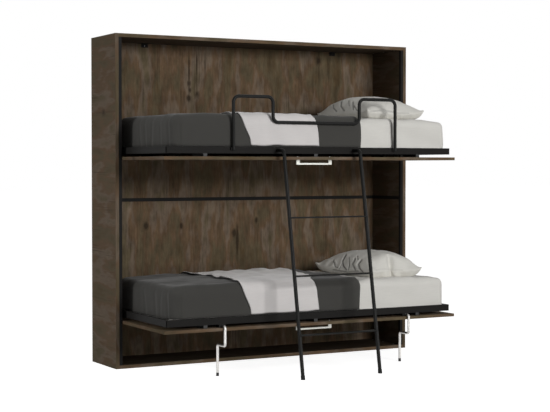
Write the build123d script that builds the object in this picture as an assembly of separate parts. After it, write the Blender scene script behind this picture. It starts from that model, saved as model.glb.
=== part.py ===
from build123d import *
import os

# A folding bunk bed: a shallow wall cabinet that holds two beds, one over the other.
# Each bed turns about a long axis near its rear edge and stands up into the cabinet,
# where its door closes the front. Sizes are in millimetres.
# X runs along the wall, Y into the wall and Z up. The origin is on the floor, at the
# centre of the cabinet's base.

# Cabinet, whose width follows from the mattress
cabinet_height = 2040.0
cabinet_depth = 396.0
panel_thickness = 22.0
back_board_thickness = 8.0
back_board_recess = 8.0
groove_depth = 8.0
groove_play = 0.25
frame_end_gap = 47.5
stile_width = 20.0
stile_depth = 20.0
mid_rail_height = 22.0
mid_rail_centre_height = 1020.0
mid_rail_lip = 4.0
mid_rail_web = 6.0
side_rail_thickness = 3.0

# Cam fittings that hold the cabinet's corners
cam_radius = 7.5
cam_depth = 13.5
cam_bolt_radius = 3.0
cam_bolt_thread_length = 11.0
cam_setback = 34.0
cam_front_inset = 60.0
cam_play = 0.1

# Angles that fix the cabinet to the wall
wall_angle_spacing = 1400.0
wall_angle_length = 44.0
wall_angle_leg = 24.0
wall_angle_thickness = 3.0
wall_hole_radius = 3.25
wall_hole_drop = 14.0

# Stack of each bed, counted up from the outer face of its door
lower_door_height = 275.0
bed_pitch = 998.0
door_thickness = 18.0
door_end_gap = 2.0
door_front_reach = 620.0
door_rear_setback = 355.0
pivot_above_door_face = 60.0
spacer_height = 18.0
rail_height = 40.0
rail_width = 15.0
rail_wall = 1.5
rail_front_setback = 23.0
ledge_width = 20.0
ledge_thickness = 3.0
slat_thickness = 8.0
slat_width = 70.0
slat_count = 13
slat_end_play = 1.0
cross_bar_width = 20.0
spacer_width = 24.0
spacer_length = 150.0
spacer_pitch = 742.0

# Bedding
mattress_length = 1900.0
mattress_width = 850.0
mattress_thickness = 185.0
mattress_side_play = 3.0
mattress_foot_play = 39.5
mattress_head_play = 3.5
mattress_corner_radius = 50.0
mattress_edge_radius = 40.0
fabric_gap = 0.3
duvet_top_thickness = 22.0
duvet_side_thickness = 10.0
duvet_pillow_gap = 92.0
duvet_hem_gap = 0.6
duvet_fold_radius = 15.0
duvet_fold_proud = 3.0
duvet_fold_places = [70.0, 275.0, 395.0, 474.0]
throw_top_thickness = 14.0
throw_side_thickness = 3.5
throw_left_front = 813.0
throw_left_rear = 848.0
throw_right_front = 318.0
throw_right_rear = 48.0
throw_hem_gap = 4.0
pillow_length = 655.0
pillow_width = 430.0
pillow_height = 171.0
pillow_tip_height = 58.0
pillow_end_inset = 113.0
pillow_front_inset = 395.0
pillow_tip_thickness = 6.0
pillow_place_shares = [-0.5, -0.46, -0.32, 0.0, 0.32, 0.46, 0.5]
pillow_width_shares = [0.94, 0.95, 0.91, 0.9, 0.91, 0.95, 0.94]
pillow_crown_shares = [0.0, 0.42, 0.86, 1.0, 0.86, 0.42, 0.0]
pillow_flat_share = 0.74

# Turning gear at both ends of each bed
pivot_pin_radius = 6.0
running_play = 0.05
end_plate_thickness = 5.0
end_plate_front = 42.0
end_plate_rear = 112.0
boss_radius = 12.0
boss_length = 14.0
pivot_plate_thickness = 3.0
pivot_plate_half = 45.0
pin_end_gap = 0.5

# Gas struts
strut_inset = 25.0
strut_radius = 10.0
strut_bore_radius = 8.0
strut_rod_radius = 5.0
strut_eye_radius = 10.0
strut_eye_width = 12.0
strut_pin_radius = 4.0
strut_gland_length = 12.0
strut_tube_length = 175.0
strut_piston_place = 43.7
strut_piston_length = 10.0
strut_top_gap = 81.0
strut_top_above = 271.0
strut_stud_behind = 85.0
strut_stud_gap = 0.5
strut_neck = 12.0
strut_plate_half = 30.0

# Bow handle under each door
handle_length = 246.0
handle_depth = 12.0
handle_grip_height = 10.0
handle_post_width = 22.0
handle_drop = 29.0
handle_edge = 1.5
handle_front_inset = 50.0
handle_screw_radius = 2.0
handle_screw_depth = 10.0
handle_screw_head_radius = 4.0
handle_screw_head_height = 2.5

# Legs under the front of the lower bed
leg_left_place = 632.0
leg_right_place = 654.0
leg_radius = 8.0
leg_wall = 1.5
leg_bend = 15.0
leg_forward = 11.5
leg_jog = 100.0
leg_jog_height = 187.0
leg_foot_height = 20.0
leg_foot_radius = 8.5
leg_pin_radius = 6.0
leg_pull_travel = 125.0
leg_block_width = 44.0
leg_block_length = 40.0
leg_block_front_inset = 2.0
leg_sleeve_grip = 20.0
leg_sleeve_gap = 0.3

# Guard rail on the upper bed
guard_radius = 10.0
guard_wall = 1.5
guard_bend = 36.0
guard_half_length = 564.0
guard_drop_half = 301.0
guard_top_above_rail = 296.0
guard_low_above_rail = 146.0
guard_foot_below_rail = 20.0
guard_face_gap = 0.6
saddle_width = 34.0
saddle_height = 16.0
saddle_play = 0.6

# Ladder
ladder_rail_radius = 11.0
ladder_rail_wall = 1.5
ladder_half_width = 265.0
ladder_foot_forward = 307.0
ladder_top_forward = 77.0
ladder_bend = 28.0
ladder_rail_drop = 19.0
ladder_cap_gap = 0.4
ladder_cap_length = 5.0
ladder_foot_radius = 12.5
ladder_foot_length = 24.0
ladder_foot_sole = 6.0
rung_heights = [252.0, 592.0, 932.0]
rung_depth = 36.0
rung_thickness = 8.0

# Play of the sliding rods, and how far every cut runs past what it cuts
sliding_play = 0.1
overrun = 5.0

# Places that follow from the sizes above
frame_half = (mattress_length + mattress_foot_play + mattress_head_play) / 2 + rail_width
mattress_foot = rail_width + mattress_foot_play - frame_half
mattress_head = frame_half - rail_width - mattress_head_play
side_inner = frame_half + frame_end_gap
half_width = side_inner + panel_thickness
front_y = -cabinet_depth / 2
rear_y = cabinet_depth / 2
board_front = rear_y - back_board_recess - back_board_thickness
board_rear = rear_y - back_board_recess
floor_top = panel_thickness
roof_under = cabinet_height - panel_thickness

door_half = side_inner - stile_width - door_end_gap
door_front = front_y - door_front_reach
door_rear = front_y + door_rear_setback
pivot_y = front_y + pivot_above_door_face
rail_base = door_thickness + spacer_height
rail_top = rail_base + rail_height
frame_front = door_front + rail_front_setback
frame_inner_front = frame_front + rail_width
mattress_front = frame_inner_front + mattress_side_play
mattress_rear = mattress_front + mattress_width
frame_inner_rear = mattress_rear + mattress_side_play
frame_rear = frame_inner_rear + rail_width
slat_base = rail_base + spacer_height + ledge_thickness
mattress_base = slat_base + slat_thickness
mattress_top = mattress_base + mattress_thickness
strut_plane = side_inner - strut_inset
pillow_centre = mattress_head - pillow_end_inset - pillow_width / 2
duvet_end = pillow_centre - pillow_width / 2 - duvet_pillow_gap

levels = {"lower": lower_door_height, "upper": lower_door_height + bed_pitch}
sides = {"left": -1, "right": 1}

nodes = {}


def block(x0, x1, y0, y1, z0, z1):
    """A box between two corners."""
    corner = (Align.MIN, Align.MIN, Align.MIN)
    return Pos(min(x0, x1), y0, z0) * Box(abs(x1 - x0), y1 - y0, z1 - z0, align=corner)


def rod_x(x0, x1, y, z, radius):
    """A round bar along X."""
    return Pos((x0 + x1) / 2, y, z) * Rot(0, 90, 0) * Cylinder(radius, abs(x1 - x0))


def rod_y(x, y0, y1, z, radius):
    """A round bar along Y."""
    return Pos(x, (y0 + y1) / 2, z) * Rot(90, 0, 0) * Cylinder(radius, abs(y1 - y0))


def rod_z(x, y, z0, z1, radius):
    """A round bar along Z."""
    return Pos(x, y, (z0 + z1) / 2) * Cylinder(radius, z1 - z0)


def bar_between(start, end, radius):
    """A round bar from one point to another."""
    start, end = Vector(*start), Vector(*end)
    plane = Plane(origin=start, z_dir=end - start)
    return extrude(plane * Circle(radius), amount=(end - start).length)


def bent_bar(points, radius, bend):
    """A round bar bent along straight runs, with one bend radius."""
    path = FilletPolyline(*points, radius=bend)
    start = Plane(origin=path @ 0, z_dir=path % 0)
    return sweep(start * Circle(radius), path=path)


def bent_tube(points, radius, bend, wall):
    """A round tube bent along straight runs."""
    return bent_bar(points, radius, bend) - bent_bar(points, radius - wall, bend)


def soft_block(x0, x1, y0, y1, z0, z1, corner, edge):
    """A block with round upright corners and round top and bottom edges."""
    body = block(x0, x1, y0, y1, z0, z1)
    body = fillet(body.edges().filter_by(Axis.Z), corner)
    flat = body.edges().group_by(Axis.Z)
    return fillet(flat[0] + flat[-1], edge)


def keep(name, *solids):
    """Store one sub-part, made of one or more separate solids."""
    shapes = []
    for item in solids:
        shapes.extend(item.solids())
    nodes[name] = Compound(label=name, children=shapes) if len(shapes) > 1 else shapes[0]


def mirrored(make):
    """The same piece at both ends, in the order left and right."""
    return [make(side) for side in sides.values()]


def cabinet_panels():
    """Sides, roof, base and the two back boards, which sit in grooves all round."""
    groove = back_board_thickness / 2 + groove_play
    board_y = (board_front + board_rear) / 2
    channel = block(-side_inner - groove_depth, side_inner + groove_depth,
                    board_y - groove, board_y + groove,
                    floor_top - groove_depth, roof_under + groove_depth)
    cam_cuts = cam_holes()
    for name, side in sides.items():
        panel = block(side * side_inner, side * half_width, front_y, rear_y, 0, cabinet_height)
        keep("side_panel_" + name, panel - channel - cam_cuts)
    roof = block(-side_inner, side_inner, front_y, rear_y, roof_under, cabinet_height)
    base = block(-side_inner, side_inner, front_y, rear_y, 0, floor_top)
    keep("top_panel", roof - channel - cam_cuts)
    keep("bottom_panel", base - channel - cam_cuts)
    reach = side_inner + groove_depth - groove_play
    middle = mid_rail_web / 2 + groove_play
    lower = block(-reach, reach, board_front, board_rear,
                  floor_top - groove_depth + groove_play, mid_rail_centre_height - middle)
    upper = block(-reach, reach, board_front, board_rear,
                  mid_rail_centre_height + middle, roof_under + groove_depth - groove_play)
    keep("back_board_lower", lower)
    keep("back_board_upper", upper - wall_holes())


def cam_places():
    """Side, depth and level of each corner fitting: three at each of the four corners."""
    rows = [front_y + cam_front_inset, (front_y + board_front) / 2, board_front - cam_front_inset]
    return [(side, y, top) for side in sides.values() for y in rows for top in (False, True)]


def cam_levels(top):
    """Middle height of the horizontal panel, its inner face and its far side."""
    half = panel_thickness / 2
    if top:
        return roof_under + half, roof_under, roof_under + cam_depth
    return half, floor_top, floor_top - cam_depth


def cam_holes():
    """Bores for the cams and for their bolts."""
    cuts = []
    for side, y, top in cam_places():
        middle, face, far = cam_levels(top)
        x = side * (side_inner - cam_setback)
        cuts.append(rod_z(x, y, min(face, far), max(face, far), cam_radius + cam_play))
        thread = side * (side_inner + cam_bolt_thread_length)
        cuts.append(rod_x(x, thread, y, middle, cam_bolt_radius + cam_play))
    return Compound(children=cuts)


def cam_fittings():
    """Round cams let into the roof and base, and the bolts that they pull in."""
    cams, bolts = [], []
    for side, y, top in cam_places():
        middle, face, far = cam_levels(top)
        x = side * (side_inner - cam_setback)
        thread = side * (side_inner + cam_bolt_thread_length - cam_play)
        bolt = rod_x(x, thread, y, middle, cam_bolt_radius)
        passage = rod_x(x - side * cam_radius / 2, thread, y, middle, cam_bolt_radius + cam_play)
        low, high = min(face, far) + cam_play, max(face, far) - cam_play
        cams.append(rod_z(x, y, low, high, cam_radius) - passage)
        bolts.append(bolt)
    keep("cam_locks", *cams)
    keep("cam_bolts", *bolts)


def front_stiles():
    """Black uprights that fill the gap between each side and the doors."""
    for name, side in sides.items():
        inner = side * (side_inner - stile_width)
        keep("front_stile_" + name,
             block(side * side_inner, inner, front_y, front_y + stile_depth, floor_top, roof_under))


def middle_rail():
    """Black rail that joins the two back boards, with flat strips along both sides."""
    low = mid_rail_centre_height - mid_rail_height / 2
    high = mid_rail_centre_height + mid_rail_height / 2
    body = block(-side_inner, side_inner, board_front - mid_rail_lip, board_rear + mid_rail_lip,
                 low, high)
    web_low = mid_rail_centre_height - mid_rail_web / 2
    web_high = mid_rail_centre_height + mid_rail_web / 2
    slot_front, slot_rear = board_front - groove_play, board_rear + groove_play
    body -= block(-half_width, half_width, slot_front, slot_rear, low - overrun, web_low)
    body -= block(-half_width, half_width, slot_front, slot_rear, web_high, high + overrun)
    def strip(side):
        inner = side * (side_inner - side_rail_thickness)
        return block(side * side_inner, inner, front_y + stile_depth, board_front - mid_rail_lip,
                     low, high)

    keep("mid_rail", body, *mirrored(strip))


def wall_holes():
    """Bolt holes to the wall through the board behind each angle."""
    z = roof_under - wall_hole_drop
    cuts = [rod_y(side * wall_angle_spacing / 2, board_front - overrun - wall_angle_thickness,
                  board_rear + overrun, z, wall_hole_radius) for side in sides.values()]
    return Compound(children=cuts)


def wall_angles():
    """Steel angles under the roof, bolted through the back board to the wall."""
    holes = wall_holes()

    def angle(side):
        x = side * wall_angle_spacing / 2
        left, right = x - wall_angle_length / 2, x + wall_angle_length / 2
        upright = block(left, right, board_front - wall_angle_thickness, board_front,
                        roof_under - wall_angle_leg, roof_under)
        flange = block(left, right, board_front - wall_angle_leg, board_front,
                       roof_under - wall_angle_thickness, roof_under)
        return (upright + flange) - holes

    keep("wall_angles", *mirrored(angle))


def bed_door(level, base):
    """Wood-faced door that lies under the bed and closes the cabinet when it stands."""
    panel = block(-door_half, door_half, door_front, door_rear, base, base + door_thickness)
    y = door_front + handle_front_inset
    reach = handle_length / 2 - handle_post_width / 2
    top = base + door_thickness
    screws = []
    for side in sides.values():
        shank = rod_z(side * reach, y, base - handle_screw_depth, top, handle_screw_radius)
        head = rod_z(side * reach, y, top, top + handle_screw_head_height,
                     handle_screw_head_radius)
        screws.append(shank + head)
        panel -= rod_z(side * reach, y, base - overrun, top + overrun, handle_screw_radius)
    keep("door_" + level, panel)
    keep("handle_" + level, bow_handle(y, base) - Compound(children=screws))
    keep("handle_screws_" + level, *screws)


def bow_handle(y, base):
    """Bow handle under a door: a flat bar between two square posts."""
    front, rear = y - handle_depth / 2, y + handle_depth / 2
    low, half = base - handle_drop, handle_length / 2
    bow = block(-half, half, front, rear, low, base)
    bow = fillet(bow.edges().filter_by(Axis.Y).group_by(Axis.Z)[0], handle_edge)
    inner = half - handle_post_width
    return bow - block(-inner, inner, front - overrun, rear + overrun,
                       low + handle_grip_height, base + overrun)


def hollow_bar_x(x0, x1, y0, y1, z0, z1, wall):
    """A rectangular steel tube along X."""
    return block(x0, x1, y0, y1, z0, z1) - block(
        x0 - overrun, x1 + overrun, y0 + wall, y1 - wall, z0 + wall, z1 - wall)


def hollow_bar_y(x0, x1, y0, y1, z0, z1, wall):
    """A rectangular steel tube along Y."""
    x0, x1 = min(x0, x1), max(x0, x1)
    return block(x0, x1, y0, y1, z0, z1) - block(
        x0 + wall, x1 - wall, y0 - overrun, y1 + overrun, z0 + wall, z1 - wall)


def bed_frame(level, base):
    """Steel frame of rectangular tube: long rails with slat ledges, end rails, cross bars."""
    low, high = base + rail_base, base + rail_top
    front = hollow_bar_x(-frame_half, frame_half, frame_front, frame_inner_front, low, high,
                         rail_wall)
    rear = hollow_bar_x(-frame_half, frame_half, frame_inner_rear, frame_rear, low, high,
                        rail_wall)
    ledge_low = base + slat_base - ledge_thickness
    inner_half = frame_half - rail_width
    front += block(-inner_half, inner_half, frame_inner_front, frame_inner_front + ledge_width,
                   ledge_low, base + slat_base)
    rear += block(-inner_half, inner_half, frame_inner_rear - ledge_width, frame_inner_rear,
                  ledge_low, base + slat_base)
    keep("frame_long_rails_" + level, front, rear)

    def end_rail(side):
        return hollow_bar_y(side * inner_half, side * frame_half, frame_inner_front,
                            frame_inner_rear, low, high, rail_wall)

    bars = mirrored(end_rail)
    for step in (-1, 0, 1):
        middle = step * spacer_pitch
        bars.append(hollow_bar_y(middle - cross_bar_width / 2, middle + cross_bar_width / 2,
                                 frame_inner_front, frame_inner_rear, low, ledge_low, rail_wall))
    keep("frame_cross_tubes_" + level, *bars)


def slats(level, base):
    """Beech slats across the bed, resting on the ledges of the long rails."""
    inner_half = frame_half - rail_width
    pitch = inner_half * 2 / slat_count
    made = []
    for index in range(slat_count):
        middle = -inner_half + pitch * (index + 1 / 2)
        made.append(block(middle - slat_width / 2, middle + slat_width / 2,
                          frame_inner_front + slat_end_play, frame_inner_rear - slat_end_play,
                          base + slat_base, base + mattress_base))
    keep("slats_" + level, *made)


def spacers(level, base):
    """Blocks that hold the door off the frame, in three rows of three."""
    rows = [frame_front, (frame_front + frame_rear - spacer_length) / 2,
            frame_rear - spacer_length]
    made = []
    for step in (-1, 0, 1):
        for y in rows:
            x = step * spacer_pitch
            made.append(block(x - spacer_width / 2, x + spacer_width / 2, y, y + spacer_length,
                              base + door_thickness, base + rail_base))
    keep("spacer_blocks_" + level, *made)


def bed_end_plates(level, base):
    """Steel plates on the frame's ends, each with a pivot boss and a stud for the strut."""
    z = base + pivot_above_door_face
    stud_end = strut_plane - strut_eye_width / 2 - strut_stud_gap

    def plate(side):
        inner = side * frame_half
        outer = side * (frame_half + end_plate_thickness)
        body = block(inner, outer, pivot_y - end_plate_front, pivot_y + end_plate_rear,
                     base + rail_base, base + rail_top)
        body += rod_x(inner, side * (frame_half + end_plate_thickness + boss_length), pivot_y, z,
                      boss_radius)
        body += rod_x(outer, side * stud_end, pivot_y + strut_stud_behind, z, strut_pin_radius)
        body -= rod_x(inner - side * overrun, side * half_width, pivot_y, z,
                      pivot_pin_radius + running_play)
        return body

    keep("end_plates_" + level, *mirrored(plate))


def strut_ends(base):
    """Middle of the strut's pin on the cabinet and of its stud on the lowered bed."""
    z = base + pivot_above_door_face
    top = (board_front - strut_top_gap, z + strut_top_above)
    stud = (pivot_y + strut_stud_behind, z)
    return top, stud


def pivot_plates():
    """Plates on the cabinet's sides that carry the pivot pins of both beds."""
    made = []
    for base in levels.values():
        z = base + pivot_above_door_face
        for side in sides.values():
            face = side * (side_inner - pivot_plate_thickness)
            body = block(side * side_inner, face, pivot_y - pivot_plate_half / 2,
                         pivot_y + pivot_plate_half, z - pivot_plate_half, z + pivot_plate_half)
            pin = rod_x(face, side * (frame_half + pin_end_gap), pivot_y, z, pivot_pin_radius)
            made.append(body + pin)
    keep("pivot_plates", *made)


def strut_mounts():
    """Plates high on the cabinet's sides, with the pins that the struts hang from."""
    made = []
    for base in levels.values():
        (y, z), _ = strut_ends(base)
        for side in sides.values():
            face = side * (side_inner - pivot_plate_thickness)
            tip = side * (strut_plane - strut_eye_width / 2 - strut_stud_gap)
            body = block(side * side_inner, face, y - strut_plate_half, y + strut_plate_half,
                         z - strut_plate_half, z + strut_plate_half)
            made.append(body + rod_x(face, tip, y, z, strut_pin_radius))
    keep("strut_mounts", *made)


def gas_struts(level, base):
    """Gas struts: a tube hung from the cabinet and a rod that reaches the bed's stud."""
    (top_y, top_z), (stud_y, stud_z) = strut_ends(base)
    for name, side in sides.items():
        x = side * strut_plane
        top, stud = Vector(x, top_y, top_z), Vector(x, stud_y, stud_z)
        down = (stud - top).normalized()

        def along(distance):
            return tuple(top + down * distance)

        def back(distance):
            return tuple(stud - down * distance)

        tube_end = strut_neck + strut_tube_length
        rod_length = (stud - top).length - strut_piston_place
        tube = bar_between(along(strut_eye_radius / 2), along(tube_end), strut_radius)
        tube -= bar_between(along(strut_neck + strut_eye_radius),
                            along(tube_end - strut_gland_length), strut_bore_radius)
        tube -= bar_between(along(tube_end - strut_gland_length - overrun),
                            along(tube_end + overrun), strut_rod_radius + sliding_play)
        eye = rod_x(x - strut_eye_width / 2, x + strut_eye_width / 2, top_y, top_z,
                    strut_eye_radius)
        tube += eye
        tube -= rod_x(x - strut_radius - overrun, x + strut_radius + overrun, top_y, top_z,
                      strut_pin_radius + running_play)
        keep("strut_tube_" + level + "_" + name, tube)
        rod = bar_between(back(strut_eye_radius / 2), back(rod_length), strut_rod_radius)
        rod += bar_between(back(rod_length - strut_piston_length), back(rod_length),
                           strut_bore_radius - sliding_play)
        rod += rod_x(x - strut_eye_width / 2, x + strut_eye_width / 2, stud_y, stud_z,
                     strut_eye_radius)
        rod -= rod_x(x - strut_radius - overrun, x + strut_radius + overrun, stud_y, stud_z,
                     strut_pin_radius + running_play)
        keep("strut_rod_" + level + "_" + name, rod)


def mattress(level, base):
    """Foam mattress in a fitted sheet."""
    keep("mattress_" + level, mattress_solid(base, 0))


def mattress_solid(base, grow):
    """The mattress's own shape, or one larger all round."""
    return soft_block(mattress_foot - grow, mattress_head + grow,
                      mattress_front - grow, mattress_rear + grow,
                      base + mattress_base - grow, base + mattress_top + grow,
                      mattress_corner_radius + grow, mattress_edge_radius + grow)


def duvet_outer(base, side_grow, top_grow):
    """Outside of the duvet, or of a cloth laid over it."""
    side = fabric_gap + duvet_side_thickness + side_grow
    top = fabric_gap + duvet_top_thickness + top_grow
    return soft_block(mattress_foot - side, mattress_head + side,
                      mattress_front - side, mattress_rear + side,
                      base + mattress_base - side, base + mattress_top + top,
                      mattress_corner_radius + side, mattress_edge_radius + side)


def duvet(level, base):
    """Duvet over the foot of the bed, tucked down to the frame, with soft upright folds."""
    hem = base + rail_top + duvet_hem_gap
    body = duvet_outer(base, 0, 0)
    outer_x = mattress_foot - fabric_gap - duvet_side_thickness
    for place in duvet_fold_places:
        body += rod_z(outer_x + duvet_fold_radius - duvet_fold_proud, mattress_front + place,
                      hem, base + mattress_top - mattress_edge_radius, duvet_fold_radius)
    body -= mattress_solid(base, fabric_gap)
    body -= block(duvet_end, half_width, door_front, rear_y, base, base + bed_pitch)
    body -= block(-half_width, half_width, door_front, rear_y, base, hem)
    keep("duvet_" + level, body)


def throw(level, base):
    """White throw laid across the duvet and down both long sides."""
    hem = base + rail_top + throw_hem_gap
    top = base + mattress_top + pillow_height
    outline = [(duvet_end - throw_left_front, door_front),
               (duvet_end - throw_right_front, door_front),
               (duvet_end - throw_right_rear, rear_y),
               (duvet_end - throw_left_rear, rear_y)]
    sketch = Plane.XY.offset(hem) * make_face(Polyline(*outline, close=True))
    strip = extrude(sketch, amount=top - hem)
    body = duvet_outer(base, fabric_gap + throw_side_thickness, throw_top_thickness)
    body -= duvet_outer(base, fabric_gap, fabric_gap)
    keep("throw_" + level, body & strip)


def pillow(level, base):
    """Plump pillow: a high crown, pointed corners and sides that draw in between them."""
    centre_y = mattress_front + pillow_front_inset
    bottom = base + mattress_top + fabric_gap
    sections = []
    for place, width, crown in zip(pillow_place_shares, pillow_width_shares,
                                   pillow_crown_shares):
        half = pillow_width * width / 2
        tip = bottom + pillow_tip_height
        low = tip - (pillow_tip_height - pillow_tip_thickness / 2) * crown
        low -= pillow_tip_thickness / 2
        rise = (pillow_height - pillow_tip_height) * crown + pillow_tip_thickness / 2
        flat = half * pillow_flat_share
        y = centre_y + pillow_length * place
        plane = Plane(origin=(pillow_centre, y, 0), x_dir=(1, 0, 0), z_dir=(0, -1, 0))
        upper = ThreePointArc((-half, tip), (0, tip + rise), (half, tip))
        under = Polyline((half, tip), (flat, low), (-flat, low), (-half, tip))
        sections.append(plane * make_face([upper, under]))
    keep("pillow_" + level, loft(sections))


def legs():
    """Cranked legs under the lower bed: each pulls out of its sleeve's block and turns."""
    base = levels["lower"]
    axis_z = base + door_thickness + spacer_height / 2
    run_y = door_front - leg_forward
    bend_y = run_y + leg_bend
    sleeve_front = bend_y + leg_sleeve_gap
    block_front = frame_front + leg_block_front_inset
    sleeve_rear = block_front + leg_pull_travel + leg_sleeve_grip
    blocks = []
    for name, x in {"left": -leg_left_place, "right": leg_right_place}.items():
        body = block(x - leg_block_width / 2, x + leg_block_width / 2, block_front,
                     block_front + leg_block_length, base + door_thickness, base + rail_base)
        blocks.append(body - rod_y(x, block_front - overrun,
                                   block_front + leg_block_length + overrun, axis_z,
                                   leg_radius + sliding_play))
        sleeve = rod_y(x, sleeve_front, sleeve_rear, axis_z, leg_radius)
        sleeve -= rod_y(x, sleeve_front - overrun, sleeve_rear + overrun, axis_z,
                        leg_pin_radius + sliding_play)
        keep("leg_sleeve_" + name, sleeve)
        foot_y = run_y + leg_jog
        crank = [(x, run_y, leg_jog_height), (x, foot_y, leg_jog_height),
                 (x, foot_y, leg_foot_height)]
        top = [(x, bend_y, axis_z), (x, run_y, axis_z)]
        bend = leg_bend - leg_sleeve_gap
        leg = bent_bar(top + crank, leg_radius, bend)
        leg -= bent_bar([(x, run_y, axis_z - leg_bend)] + crank, leg_radius - leg_wall, bend)
        leg += rod_y(x, bend_y, sleeve_rear, axis_z, leg_pin_radius)
        keep("leg_" + name, leg)
        keep("leg_foot_" + name, rod_z(x, foot_y, 0, leg_foot_height, leg_foot_radius))
    keep("leg_blocks", *blocks)


def guard_rail():
    """Bent tube rail along the front of the upper bed, lower in the middle."""
    top_of_rail = levels["upper"] + rail_top
    y = frame_front - guard_face_gap - guard_radius
    foot = top_of_rail - guard_foot_below_rail
    high = top_of_rail + guard_top_above_rail
    low = top_of_rail + guard_low_above_rail
    points = [(-guard_half_length, y, foot), (-guard_half_length, y, high),
              (-guard_drop_half, y, high), (-guard_drop_half, y, low),
              (guard_drop_half, y, low), (guard_drop_half, y, high),
              (guard_half_length, y, high), (guard_half_length, y, foot)]
    keep("guard_rail", bent_tube(points, guard_radius, guard_bend, guard_wall))

    def saddle(side):
        x = side * guard_half_length
        body = block(x - saddle_width / 2, x + saddle_width / 2, y, frame_front, foot,
                     foot + saddle_height)
        return body - rod_z(x, y, foot - overrun, top_of_rail, guard_radius + saddle_play)

    keep("guard_saddles", *mirrored(saddle))


def ladder():
    """Ladder of two round rails with flat rungs, leaning on the upper bed's frame. Its foot
    and its bend stand forward of that frame's front."""
    end_y = frame_front - ladder_cap_gap - ladder_cap_length
    top_z = levels["upper"] + rail_top - ladder_rail_drop
    foot_y = frame_front - ladder_foot_forward
    bend_y = frame_front - ladder_top_forward
    lean = (bend_y - foot_y) / top_z
    bars, caps, feet = [], [], []
    for name, side in sides.items():
        x = side * ladder_half_width
        start = (x, foot_y + lean * ladder_foot_sole, ladder_foot_sole)
        points = [start, (x, bend_y, top_z), (x, end_y, top_z)]
        keep("ladder_rail_" + name,
             bent_tube(points, ladder_rail_radius, ladder_bend, ladder_rail_wall))
        bars.append(bent_bar(points, ladder_rail_radius, ladder_bend))
        caps.append(rod_y(x, end_y, end_y + ladder_cap_length, top_z, ladder_rail_radius))
        high = (x, foot_y + lean * ladder_foot_length, ladder_foot_length)
        deep = (x, foot_y - lean * ladder_foot_length, -ladder_foot_length)
        foot = bar_between(deep, high, ladder_foot_radius)
        foot -= block(-half_width, half_width, foot_y - half_width, front_y,
                      -half_width, 0)
        shank = bar_between(start, (x, foot_y + lean * ladder_foot_length * 2,
                                    ladder_foot_length * 2), ladder_rail_radius)
        feet.append(foot - shank)
    keep("ladder_end_caps", *caps)
    keep("ladder_feet", *feet)
    rungs = []
    for height in rung_heights:
        y = foot_y + lean * height
        rung = block(-ladder_half_width, ladder_half_width, y - rung_depth / 2,
                     y + rung_depth / 2, height - rung_thickness / 2, height + rung_thickness / 2)
        rungs.append(rung - bars[0] - bars[1])
    keep("ladder_rungs", *rungs)


cabinet_panels()
cam_fittings()
front_stiles()
middle_rail()
wall_angles()
for level, base in levels.items():
    bed_door(level, base)
    bed_frame(level, base)
    slats(level, base)
    spacers(level, base)
    bed_end_plates(level, base)
    gas_struts(level, base)
    mattress(level, base)
    duvet(level, base)
    throw(level, base)
    pillow(level, base)
pivot_plates()
strut_mounts()
legs()
guard_rail()
ladder()

os.makedirs("parts", exist_ok=True)
for name, shape in nodes.items():
    export_step(shape, "parts/" + name + ".step")
print(len(nodes), "nodes")
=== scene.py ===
import math

import bpy
import numpy as np
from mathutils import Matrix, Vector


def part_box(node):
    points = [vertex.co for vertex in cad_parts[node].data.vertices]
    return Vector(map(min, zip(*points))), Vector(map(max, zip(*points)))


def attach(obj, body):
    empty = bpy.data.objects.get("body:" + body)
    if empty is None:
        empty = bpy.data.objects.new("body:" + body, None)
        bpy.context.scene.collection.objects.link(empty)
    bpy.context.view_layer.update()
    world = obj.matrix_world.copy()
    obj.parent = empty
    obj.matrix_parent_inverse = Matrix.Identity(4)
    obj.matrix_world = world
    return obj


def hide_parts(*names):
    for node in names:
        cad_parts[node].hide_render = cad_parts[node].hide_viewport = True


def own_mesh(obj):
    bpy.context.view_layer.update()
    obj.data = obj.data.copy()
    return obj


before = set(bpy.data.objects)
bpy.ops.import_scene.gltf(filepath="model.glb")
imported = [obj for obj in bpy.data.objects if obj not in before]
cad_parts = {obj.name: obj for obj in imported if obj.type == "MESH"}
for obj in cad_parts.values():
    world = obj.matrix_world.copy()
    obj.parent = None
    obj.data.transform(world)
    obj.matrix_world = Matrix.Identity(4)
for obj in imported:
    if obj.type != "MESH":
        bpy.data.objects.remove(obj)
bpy.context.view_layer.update()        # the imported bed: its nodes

bl_info = {
    "name": "Folding bunk bed",
    "version": (1, 0, 0),
    "blender": (4, 5, 0),
    "location": "View3D > Sidebar > Bunk bed",
    "description": "Finishes, bedding and stage of a folding bunk bed",
    "category": "Object",
}

# Lengths are in metres, in the frame's own axes: X along the wall, Y into it, Z up.
LEVELS = ("lower", "upper")
SIDES = ("left", "right")
QUARTER = math.pi / 2

# Camera that sees the bed from the photograph's side
CAMERA_PLACE = (-4.2375, -8.0130, 1.2318)
CAMERA_TILT = math.radians(90 - 1.6262)
CAMERA_TURN = math.radians(-28.7209)
SENSOR_WIDTH = 36.0
LENS = 90.595

# Upright folds in the duvet over the bed's foot: place along the end from its middle
# towards the front, width of the valley, depth, and how far it leans by the hem
DUVET_FOLDS = {
    "lower": [(0.008, 0.016, 0.005, 0.020), (0.166, 0.018, 0.008, 0.012),
              (0.262, 0.012, 0.004, -0.010), (0.345, 0.016, 0.008, 0.014),
              (0.437, 0.010, 0.007, 0.000)],
    "upper": [(-0.049, 0.014, 0.005, 0.010), (0.029, 0.012, 0.006, 0.010),
              (0.135, 0.016, 0.007, -0.014), (0.250, 0.012, 0.004, 0.008),
              (0.364, 0.016, 0.008, 0.010), (0.440, 0.010, 0.007, 0.000)],
}

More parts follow.
